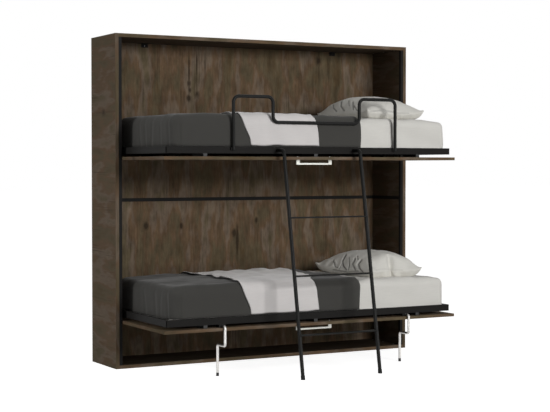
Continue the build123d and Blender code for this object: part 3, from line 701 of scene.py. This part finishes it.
class Bed:
    """Where the bedding of one bed lies, read from the frame."""

    # Shares: the hollow under the pillow in the crown, what the sides lose of the duvet's
    # hills, the folds' depth, and the height, place and width of the ridge beside a fold
    PRESS_SHARE = 1.15
    CALM_SHARE = 0.65
    FOLD_SHARE = 0.55
    FOLD_RIDGE_SHARES = (0.55, 2.2, 1.6)

    # The throw: by what share its ends are shorter, and how many cells round its corners
    SHORT_SHARE = 0.004
    ROUND_CELLS = 4

    # The pillow: the seam's height between the corners, where the corners begin, what the
    # underside holds of the height, the share of the dome that two arches make, the arches'
    # powers and roundness, the power of the blown rise, and the depth of the creases
    SEAM_SHARE = 0.75
    CORNER_SHARE = 0.80
    UNDER_SHARE = 0.5
    ARCH_SHARE = 0.6
    ARCH_POWERS = (2.6, 2.8)
    ARCH_ROUNDNESS = 0.6
    RISE_POWER = 0.72
    CREASE_SHARE = 0.6

    # How the sheet's fine waves are stretched across the bed, and how the waves on its sides
    # follow the place along the bed and the drop
    FINE_SHARE = 0.5
    HANG_SHARES = (0.4, 0.25)

    # How much the pillow's skin turns to the eye, and up, where its creases and its hills
    # begin and where they are full
    VIEW_SHARES = (0.0, 0.3)
    UP_SHARES = (-0.2, 0.3)

    # Edge radius where the mattress's sides meet its flat underside
    SHARP = 1e-6

    def __init__(self, level):
        scene = bpy.context.scene
        self.sizes, self.drape = scene.bunk_bed_bedding, scene.bunk_bed_drape
        self.level = level
        self.seed = LEVELS.index(level)
        low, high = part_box("mattress_" + level)
        self.half = np.array([high.x - low.x, high.y - low.y]) / 2
        self.inner = self.half - self.sizes.corner
        self.centre = np.array([high.x + low.x, high.y + low.y]) / 2
        self.origin = np.array([*self.centre, high.z])
        self.top, self.height = high.z, high.z - low.z
        self.rail_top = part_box("frame_long_rails_" + level)[1].z
        self.duvet_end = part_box("duvet_" + level)[1].x - self.centre[0]
        low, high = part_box("pillow_" + level)
        self.pillow_centre = np.array([high.x + low.x, high.y + low.y]) / 2

    def hills(self, kind, x, y):
        """Soft hills of one kind at flat places, other ones on each bed."""
        high, size, seed = HILLS[kind]
        return high * soft_noise(x, y, size, seed + self.seed)

    def cloth(self, x, y, gap=0.0):
        """Cloth laid over the mattress, with a gap to it, from the middle of its top."""
        sizes = self.sizes
        points, past, turn = lay(x, y, self.half + gap, sizes.corner + gap,
                                 sizes.edge + gap)
        points[..., 2] += gap
        return points, past, turn

    def closed(self, name, outer, inner, x, y):
        """A closed cloth at its place on this bed, with its flat places as the UV map."""
        return skin(name + "_" + self.level, outer + self.origin, inner + self.origin,
                    np.stack([x, y], axis=-1))

    def mattress(self):
        """The mattress in its sheet: a crowned top, a hollow under the pillow and light
        waves in the sheet near the bed's head. Its underside is flat."""
        sizes, drape, inner = self.sizes, self.drape, self.inner
        reach = past_for(self.height, sizes.corner, sizes.edge)
        far = inner + reach
        share, y = grid(-far[0], far[0], -far[1], far[1], sizes.cell)
        x = -far[0] + share * 2 * far[0]
        outer, past, _ = self.cloth(x, y)
        bare = smooth(x, self.duvet_end, self.duvet_end + drape.crown_rise)
        kept = 1 - smooth(past, reach - drape.sheet_fade, reach)
        on_top = 1 - smooth(past, 0.0, drape.top_fade)
        middle = self.pillow_centre - self.centre
        press = np.exp(-((x - middle[0]) / drape.press_wide) ** 4
                       - ((y - middle[1]) / drape.press_long) ** 4)
        waves = self.hills("sheet", x, y) + self.hills("sheet_fine", x, y * self.FINE_SHARE)
        slant, slow = self.HANG_SHARES
        hang = self.hills("sheet_side", y + slant * x, past * slow)
        crown = (drape.crown + waves) * (1 - self.PRESS_SHARE * press)
        rise = bare * kept * (on_top * crown + (1 - on_top) * hang)
        outer = outer + normals(outer) * rise[..., None]
        head = smooth(x, self.half[0] - drape.head_reach, self.half[0]) ** 1.5
        outer[..., 2] -= drape.head_drop * head * on_top * bare
        squeeze = sizes.corner / reach
        under_x, under_y = [(1 - squeeze) * np.clip(place, -limit, limit) + squeeze * place
                            for place, limit in zip((x, y), inner)]
        under, _, _ = lay(under_x, under_y, self.half, sizes.corner, self.SHARP)
        under[..., 2] -= self.height
        return self.closed("mattress_in_sheet", outer, under, x, y)

    def around(self, x, y, turn):
        """Place along the bed's edge from the middle of its foot end, towards the front."""
        run = np.minimum(np.abs(y), self.inner[1]) + self.sizes.corner * turn
        run = run + np.maximum(x + self.inner[0], 0)
        return -np.sign(y) * run

    def duvet_outside(self, x, y):
        """The duvet's outside at flat places, and its inside.

        The outside stands off the mattress along its normal, more on top than on the
        sides and less towards the foot. Soft hills cover it, and the folds over the foot
        end are valleys with a low ridge beside each, fading out over the top edge.
        """
        sizes, drape = self.sizes, self.drape
        inside, past, turn = self.cloth(x, y, sizes.air)
        out = normals(inside)
        hang = smooth(past, sizes.corner - sizes.edge, sizes.corner + drape.side_fade)
        foot = smooth(-x, self.half[0] - drape.foot_reach, self.half[0] + drape.foot_past)
        top = sizes.duvet_top - drape.foot_thin * foot
        thick = top + (sizes.duvet_side - top) * hang
        hills = self.hills("duvet", x, y) + self.hills("duvet_fine", x, y)
        thick = thick + hills * (1 - self.CALM_SHARE * hang)
        run = self.around(x, y, turn)
        depth = past - past_for(sizes.edge, sizes.corner, sizes.edge)
        kept = smooth(depth, -drape.fold_above, drape.fold_below)
        kept *= 1 - smooth(x + self.half[0], drape.fold_near, drape.fold_far)
        high, aside, broad = self.FOLD_RIDGE_SHARES
        for place, width, deep, lean in DUVET_FOLDS[self.level]:
            away = run - place - lean * np.clip(depth / drape.fold_lean, 0, 1)
            ridge = high * bell(away - aside * width, broad * width)
            thick = thick + self.FOLD_SHARE * deep * kept * (ridge - bell(away, width))
        return inside + out * thick[..., None], inside, past, out

    def duvet(self):
        """The duvet: outside and inside meet in a round edge at its end and its hem. Over
        the foot end the hem is tucked in behind the frame's end rail."""
        sizes, drape, inner = self.sizes, self.drape, self.inner
        reach = past_for(self.top - self.rail_top - sizes.hem_gap, sizes.corner, sizes.edge,
                         sizes.air)
        far = inner + reach
        share, y = grid(-far[0], self.duvet_end, -far[1], far[1], sizes.cell, sizes.rim)
        end = self.duvet_end - drape.end_inset + self.hills("duvet_end", y, y)
        x = -far[0] + share * (end + far[0])
        outside, inside, past, _ = self.duvet_outside(x, y)
        to_end = np.clip((end - x) / sizes.duvet_roll, 0, 1)
        to_hem = np.clip((reach - past) / sizes.rim, 0, 1)
        full = np.sqrt(1 - (1 - to_end) ** 2) * np.sqrt(1 - (1 - to_hem) ** 2)
        outside = inside + (outside - inside) * full[..., None]
        tuck = smooth(past, reach - drape.tuck_reach, reach) * (x < -inner[0])
        tuck = tuck * (1 - smooth(np.abs(y), inner[1] - drape.tuck_corner, inner[1]))
        for layer in (outside, inside):
            layer[..., 2] -= sizes.tuck * tuck
        return self.closed("duvet_cloth", outside, inside, x, y)

    def throw(self):
        """The throw: a strip over the duvet whose edges run between listed places. Soft
        ridges cross it, higher at the rear, and its left edge stands off the duvet."""
        sizes, drape, inner = self.sizes, self.drape, self.inner
        hem = self.top - self.rail_top - sizes.throw_hem_gap
        far = inner[1] + past_for(hem, sizes.corner, sizes.edge)
        places = np.linspace(-far, far, round(2 * far / sizes.cell))
        window = np.hanning(2 * self.ROUND_CELLS + 1)
        window /= window.sum()

        def edge_line(table):
            """An edge with its corners rounded."""
            line = np.interp(places, *zip(*table)) - self.centre[0]
            return np.convolve(np.pad(line, self.ROUND_CELLS, mode="edge"), window,
                               mode="valid")

        left, right = edge_line(THROW_LEFT), edge_line(THROW_RIGHT)
        width = right - left
        columns = round(float(width.max()) / sizes.cell)
        share, y = np.meshgrid(np.linspace(0, 1, columns), places, indexing="ij")
        x = left + share * width
        short = self.SHORT_SHARE + self.hills("throw_hem", x, x)
        y = y * (1 - short * smooth(np.abs(y), far - drape.throw_end, far))
        base, _, past, out = self.duvet_outside(x, y)
        on_top = 1 - smooth(past, drape.ridge_near, drape.ridge_far)
        rear = smooth(y, -inner[1], inner[1])
        lift = sizes.air + (HILLS["throw"][0] + self.hills("throw", x, y)).clip(0)
        for at_rear, at_front, wide, high_rear, high_front in THROW_RIDGES[self.level]:
            line = at_front + (at_rear - at_front) * rear - self.centre[0]
            high = high_front + (high_rear - high_front) * rear
            lift += high * bell(x - line, wide) * on_top
        curl = bell(x - left, drape.curl_wide) * on_top
        lift += curl * (drape.curl_high + self.hills("throw_curl", y, y))
        under = base + out * lift[..., None]
        rim = np.minimum.reduce([x - left, right - x, far - np.abs(y)]) / drape.throw_rim
        full = np.sqrt(1 - (1 - np.clip(rim, 0, 1)) ** 2)
        over = under + normals(under) * (sizes.throw_thickness * full)[..., None]
        self.throw_flat = (float(width.max()), 2 * far)
        self.throw_area = float(width.mean() * 2 * far)
        return self.closed("throw_cloth", over, under, x, y)

    def pillow(self, blown):
        """The pillow, from a blown-up case whose seam lies near height zero.

        It is brought to size. What lies over the seam is domed up to the crown, and what
        lies under it is pressed flat on the mattress. The corners curl up. A product of two
        arches evens the dome out. Creases are valleys along lines that the camera sees,
        with a low ridge on both sides, and are marked for painted shade in them.
        """
        sizes, drape = self.sizes, self.drape
        middle = np.array([*self.pillow_centre, self.top + sizes.air])
        piece = bpy.data.objects.new("pillow_cloth_" + self.level, blown.copy())
        bpy.context.scene.collection.objects.link(piece)
        points = coordinates(piece)
        share = points / np.abs(points).max(axis=0)
        if self.level == "upper":
            share[:, :2] *= -1
        corner = np.abs(share[:, 0] * share[:, 1])
        seam = sizes.pillow_seam * (self.SEAM_SHARE + (1 - self.SEAM_SHARE) * corner ** 3)
        seam = seam + drape.corner_lift * smooth(corner, self.CORNER_SHARE, 1.0)
        risen = np.clip(share[:, 2], 0, 1)
        arches = np.prod(1 - np.abs(share[:, :2]) ** self.ARCH_POWERS, axis=1).clip(0)
        arches = arches ** self.ARCH_ROUNDNESS * (1 - (1 - risen) ** 3)
        over = (1 - self.ARCH_SHARE) * risen ** self.RISE_POWER + self.ARCH_SHARE * arches
        under = 1 - (1 - np.clip(-share[:, 2] / self.UNDER_SHARE, 0, 1)) ** 2
        points[:, :2] = share[:, :2] * [sizes.pillow_wide / 2, sizes.pillow_long / 2]
        points[:, 2] = seam + (sizes.pillow_high - seam) * over - seam * under
        move(piece, points)
        outward = np.empty(len(points) * 3, np.float32)
        piece.data.vertex_normals.foreach_get("vector", outward)
        outward = outward.reshape(-1, 3)
        view = np.array(CAMERA_PLACE) - middle
        view /= np.linalg.norm(view)
        right = np.cross((0, 0, 1), view)
        right /= np.linalg.norm(right)
        seen = np.stack([points @ right, points @ np.cross(view, right)], axis=-1)
        dent, pinched = np.zeros(len(points)), np.zeros(len(points))
        near = smooth(outward @ view, *self.VIEW_SHARES)
        near = near * smooth(points[:, 2], drape.crease_low, drape.crease_high)
        for line, width, depth in PILLOW_CREASES[self.level]:
            fall = crease(seen, line, width)
            dent += self.CREASE_SHARE * depth * fall * near
            # Painted shade in each crease, full where the crease is as deep as the setting says
            pinched = np.maximum(pinched, depth / drape.crease_shade_depth * fall.clip(0) * near)
        layer = piece.data.attributes.new("pinched", "FLOAT", "POINT")
        layer.data.foreach_set("value", pinched.astype(np.float32))
        fine = self.hills("pillow", points[:, 0], points[:, 1])
        fine = fine * smooth(outward[:, 2], *self.UP_SHARES)
        move(piece, points + outward * (fine - dent)[:, None] + middle)
        return piece


def coordinates(piece):
    """The places of a piece's vertices."""
    points = np.empty(len(piece.data.vertices) * 3, np.float32)
    piece.data.vertices.foreach_get("co", points)
    return points.reshape(-1, 3).astype(float)


def move(piece, points):
    """Put a piece's vertices at these places."""
    piece.data.vertices.foreach_set("co", points.astype(np.float32).ravel())
    piece.data.update()


def crease(places, line, width):
    """1 on a line through flat places, falling to a low ridge beside it and then to 0."""
    ridge_share, ridge_width_share = 0.35, 2.6
    nearest = np.full(len(places), np.inf)
    for start, end in zip(np.array(line[:-1]), np.array(line[1:])):
        run = end - start
        share = np.clip((places - start) @ run / (run @ run), 0, 1)
        away = places - start - share[:, None] * run
        nearest = np.minimum(nearest, np.linalg.norm(away, axis=1))
    ridge = ridge_share * bell(nearest, ridge_width_share * width)
    return (1 + ridge_share) * bell(nearest, width) - ridge


def sewn_case(sizes):
    """A pillowcase laid flat: two panels sewn together at their rim, a little apart inside
    it, as filling holds them."""
    half = np.array([sizes.panel_wide, sizes.panel_long]) / 2
    share, y = grid(-half[0], half[0], -half[1], half[1], sizes.panel_cell)
    x = (share * 2 - 1) * half[0]
    gap = PANEL_GAP * ((1 - (x / half[0]) ** 4) * (1 - (y / half[1]) ** 4)) ** 0.7
    return skin("pillow_case", np.stack([x, y, gap], axis=-1),
                np.stack([x, y, -gap], axis=-1), np.stack([x, y], axis=-1))


def blow_up(piece, pressure, frames):
    """Blow a closed cloth up without weight, and keep the shape that it has at the end."""
    scene = bpy.context.scene
    cloth = piece.modifiers.new("cloth", "CLOTH")
    for name, value in CASE_CLOTH.items():
        setattr(cloth.settings, name, value)
    cloth.settings.uniform_pressure_force = pressure
    cloth.settings.effector_weights.gravity = 0.0
    cloth.collision_settings.use_collision = False
    cloth.point_cache.frame_start = 1
    cloth.point_cache.frame_end = frames
    for step in range(1, frames + 1):
        scene.frame_set(step)
    points = coordinates(piece.evaluated_get(bpy.context.evaluated_depsgraph_get()))
    piece.modifiers.remove(cloth)
    move(piece, points)
    scene.frame_set(1)


def refined(piece, times):
    """A piece's mesh with each face split in four so many times and rounded. The piece
    itself goes."""
    piece.modifiers.new("refine", "SUBSURF").levels = times
    depsgraph = bpy.context.evaluated_depsgraph_get()
    mesh = bpy.data.meshes.new_from_object(piece.evaluated_get(depsgraph))
    bpy.data.objects.remove(piece)
    return mesh


def woven(name, kind):
    """A material of the cotton of one kind of bedding."""
    tone = getattr(bpy.context.scene.bunk_bed_finishes, kind)
    return material(name, cotton, tone, *WEAVES[kind])


def on_both_beds(build, cloth, node):
    """Make bedding on each bed with build(bed), finish it, let it ride on the bed and stand
    for its node, and give the bed and the piece."""
    for level in LEVELS:
        bed = Bed(level)
        piece = build(bed)
        piece.data.materials.append(cloth)
        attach(piece, "bed_" + level)
        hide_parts(node + "_" + level)
        yield bed, piece


class BUNKBED_OT_wood(bpy.types.Operator):
    """Give the cabinet's panels, its back boards and the doors their wood laminate"""

    bl_idname = "bunk_bed.wood"
    bl_label = "Wood panels"

    def execute(self, context):
        upright, deep, along = (0.0, 0.0, 0.0), (QUARTER, 0.0, 0.0), (0.0, -QUARTER, 0.0)
        dress(material("laminate_sides", laminate, deep, upright, *LAMINATES["sides"]),
              "side_panel_left", "side_panel_right")
        dress(material("laminate_roof_and_base", laminate, along, along,
                       *LAMINATES["roof_and_base"]), "top_panel", "bottom_panel")
        for level in LEVELS:
            board = "back_board_" + level
            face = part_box(board)[0].y
            knots = [(x + face, *rest) for x, *rest in BOARD_KNOTS[level]]
            dress(material("laminate_back_" + level, laminate, upright, upright,
                           *LAMINATES["back"], knots), board)
        dress(material("laminate_doors", laminate, deep, along, *LAMINATES["doors"]),
              *on_levels("door"))
        return {"FINISHED"}


class BUNKBED_OT_steel(bpy.types.Operator):
    """Give the bed frames, the ladder, the guard rail and the cabinet's stiles black paint"""

    bl_idname = "bunk_bed.steel"
    bl_label = "Painted steel"

    def execute(self, context):
        finish = context.scene.bunk_bed_finishes
        dress(material("satin_powder_coated_tube", powder_coat, finish.coat, 0.10),
              "guard_rail", "ladder_rail_left", "ladder_rail_right", "ladder_rungs")
        dress(material("matt_powder_coated_steel", powder_coat, finish.matt_coat, 0.02),
              "front_stile_left", "front_stile_right", "mid_rail", "guard_saddles",
              "leg_blocks", "wall_angles",
              *on_levels("frame_long_rails", "frame_cross_tubes", "end_plates"))
        return {"FINISHED"}


class BUNKBED_OT_fittings(bpy.types.Operator):
    """Give the fittings, gas struts, plastic caps and rubber feet their finishes"""

    bl_idname = "bunk_bed.fittings"
    bl_label = "Fittings and gas struts"

    def execute(self, context):
        finish = context.scene.bunk_bed_finishes
        dress(material("zinc_plated_steel", metal, finish.zinc, 0.30, (220.0,) * 3, 0.2),
              "cam_locks", "cam_bolts", "pivot_plates", "strut_mounts",
              "leg_sleeve_left", "leg_sleeve_right", *on_levels("handle_screws"))
        struts = [level + "_" + side for level in LEVELS for side in SIDES]
        dress(material("gloss_black_paint", moulded, finish.coat, 0.12, 0.5),
              *["strut_tube_" + name for name in struts])
        dress(material("ground_chromed_rod", metal, finish.chrome, 0.06,
                       (150.0, 150.0, 900.0), 0.05), *["strut_rod_" + name for name in struts])
        dress(material("black_moulded_plastic", moulded, finish.plastic, 0.48, 0.4),
              "ladder_end_caps", "leg_foot_left", "leg_foot_right",
              *on_levels("spacer_blocks"))
        dress(material("black_rubber", moulded, finish.rubber, 0.72, 0.25), "ladder_feet")
        return {"FINISHED"}


class BUNKBED_OT_legs_and_handles(bpy.types.Operator):
    """Give the cranked legs satin chrome and the bow handles brushed steel"""

    bl_idname = "bunk_bed.legs_and_handles"
    bl_label = "Legs and handles"

    def execute(self, context):
        finish = context.scene.bunk_bed_finishes
        dress(material("satin_chrome", metal, finish.chrome, 0.26, (300.0,) * 3, 0.08),
              "leg_left", "leg_right")
        dress(material("brushed_steel", metal, finish.handle, 0.30, (12.0, 700.0, 700.0), 0.3),
              *on_levels("handle"))
        return {"FINISHED"}


class BUNKBED_OT_slats(bpy.types.Operator):
    """Give the slats lacquered beech"""

    bl_idname = "bunk_bed.slats"
    bl_label = "Slats"

    def execute(self, context):
        dress(material("lacquered_beech", beech), *on_levels("slats"))
        return {"FINISHED"}


class BUNKBED_OT_mattresses(bpy.types.Operator):
    """Make the mattresses in their fitted sheets"""

    bl_idname = "bunk_bed.mattresses"
    bl_label = "Mattresses"

    def execute(self, context):
        cloth = woven("white_cotton_sheet", "sheet")
        for _, piece in on_both_beds(Bed.mattress, cloth, "mattress"):
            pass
        return {"FINISHED"}


class BUNKBED_OT_duvets(bpy.types.Operator):
    """Make the duvets over the foot of both beds"""

    bl_idname = "bunk_bed.duvets"
    bl_label = "Duvets"

    def execute(self, context):
        cloth = woven("dark_grey_cotton", "duvet")
        for _, piece in on_both_beds(Bed.duvet, cloth, "duvet"):
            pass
        return {"FINISHED"}


class BUNKBED_OT_throws(bpy.types.Operator):
    """Lay a throw across each duvet"""

    bl_idname = "bunk_bed.throws"
    bl_label = "Throws"

    def execute(self, context):
        cloth = woven("off_white_cotton_throw", "throw")
        for bed, piece in on_both_beds(Bed.throw, cloth, "throw"):
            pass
        return {"FINISHED"}


class BUNKBED_OT_pillows(bpy.types.Operator):
    """Make the pillows"""

    bl_idname = "bunk_bed.pillows"
    bl_label = "Pillows"

    def execute(self, context):
        cloth = woven("white_cotton_pillowcase", "pillow")
        sizes = context.scene.bunk_bed_bedding
        case = sewn_case(sizes)
        blow_up(case, sizes.pressure, sizes.frames)
        blown = refined(case, 2)
        for bed, piece in on_both_beds(lambda bed: bed.pillow(blown), cloth, "pillow"):
            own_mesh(piece)
        return {"FINISHED"}


def light_world(stage):
    """White surroundings to the eye and in reflections, and a soft sky that is brighter
    above than below as light."""
    world = bpy.data.worlds.new("studio_surroundings")
    world.use_nodes = True
    tree = world.node_tree
    tree.nodes.clear()
    place = add(tree, "TexCoord")
    axes = add(tree, "SeparateXYZ", {0: place.outputs["Generated"]})
    light = fade(tree, axes.outputs["Z"], *SKY_SHARES, 0.0, stage.sky)
    strength = add(tree, "Mix", {0: seen_by_eye(tree), 2: light, 3: 1.0}, data_type="FLOAT")
    white = solid(linear("#FFFFFF"))
    background = add(tree, "Background", {"Color": white, "Strength": strength})
    add(tree, "OutputWorld", {"Surface": background})
    bpy.context.scene.world = world


def lamp(name, place, aim, wide, high, power):
    """A soft lamp at a place, turned to a point."""
    data = bpy.data.lights.new(name, "AREA")
    data.shape = "RECTANGLE"
    data.size = wide
    data.size_y = high
    data.energy = power
    made = bpy.data.objects.new(name, data)
    bpy.context.scene.collection.objects.link(made)
    made.visible_camera = False
    made.location = place
    away = made.location - type(made.location)(aim)
    made.rotation_euler = away.to_track_quat("Z", "Y").to_euler()


class BUNKBED_OT_stage(bpy.types.Operator):
    """Make the floor, the lamps, the surroundings and the camera"""

    bl_idname = "bunk_bed.stage"
    bl_label = "Stage"

    def execute(self, context):
        stage = context.scene.bunk_bed_stage
        reach = stage.floor_reach
        mesh = bpy.data.meshes.new("studio_floor")
        mesh.from_pydata([(-reach, -reach, 0), (reach, -reach, 0), (reach, reach, 0),
                          (-reach, reach, 0)], [], [(0, 1, 2, 3)])
        mesh.materials.append(material("white_studio_floor", floor_shader))
        floor = bpy.data.objects.new("studio_floor", mesh)
        context.scene.collection.objects.link(floor)
        light_world(stage)
        for name, (*facts, power) in LAMPS.items():
            lamp(name, *facts, getattr(stage, power))
        data = bpy.data.cameras.new("photograph_camera")
        data.sensor_width = SENSOR_WIDTH
        data.lens = LENS
        camera = bpy.data.objects.new("photograph_camera", data)
        camera.location = CAMERA_PLACE
        camera.rotation_euler = (CAMERA_TILT, 0.0, CAMERA_TURN)
        context.scene.collection.objects.link(camera)
        context.scene.camera = camera
        context.scene.view_settings.view_transform = "Standard"
        return {"FINISHED"}


OPERATORS = (BUNKBED_OT_wood, BUNKBED_OT_steel, BUNKBED_OT_fittings,
             BUNKBED_OT_legs_and_handles, BUNKBED_OT_slats, BUNKBED_OT_mattresses,
             BUNKBED_OT_duvets, BUNKBED_OT_throws, BUNKBED_OT_pillows, BUNKBED_OT_stage)
GROUPS = {"bunk_bed_bedding": BunkBedBedding, "bunk_bed_drape": BunkBedDrape,
          "bunk_bed_finishes": BunkBedFinishes, "bunk_bed_stage": BunkBedStage}


class BUNKBED_PT_panel(bpy.types.Panel):
    """Lists the bed's operators and settings"""

    bl_idname = "BUNKBED_PT_panel"
    bl_label = "Folding bunk bed"
    bl_space_type = "VIEW_3D"
    bl_region_type = "UI"
    bl_category = "Bunk bed"

    def draw(self, context):
        for step in OPERATORS:
            self.layout.operator(step.bl_idname)
        for name in GROUPS:
            box = self.layout.box()
            settings = getattr(context.scene, name)
            for key in settings.__annotations__:
                box.prop(settings, key)


def register():
    """Register the settings, operators and panel, and give the scene its settings."""
    for group in (*GROUPS.values(), *OPERATORS, BUNKBED_PT_panel):
        bpy.utils.register_class(group)
    for name, group in GROUPS.items():
        setattr(bpy.types.Scene, name, bpy.props.PointerProperty(type=group))


def unregister():
    """Take them away again."""
    for name in GROUPS:
        delattr(bpy.types.Scene, name)
    for group in (BUNKBED_PT_panel, *reversed(OPERATORS), *GROUPS.values()):
        bpy.utils.unregister_class(group)


def main():
    """Make every piece in order."""
    register()
    for step in OPERATORS:
        namespace, name = step.bl_idname.split(".")
        getattr(getattr(bpy.ops, namespace), name)()


if __name__ == "__main__":
    main()
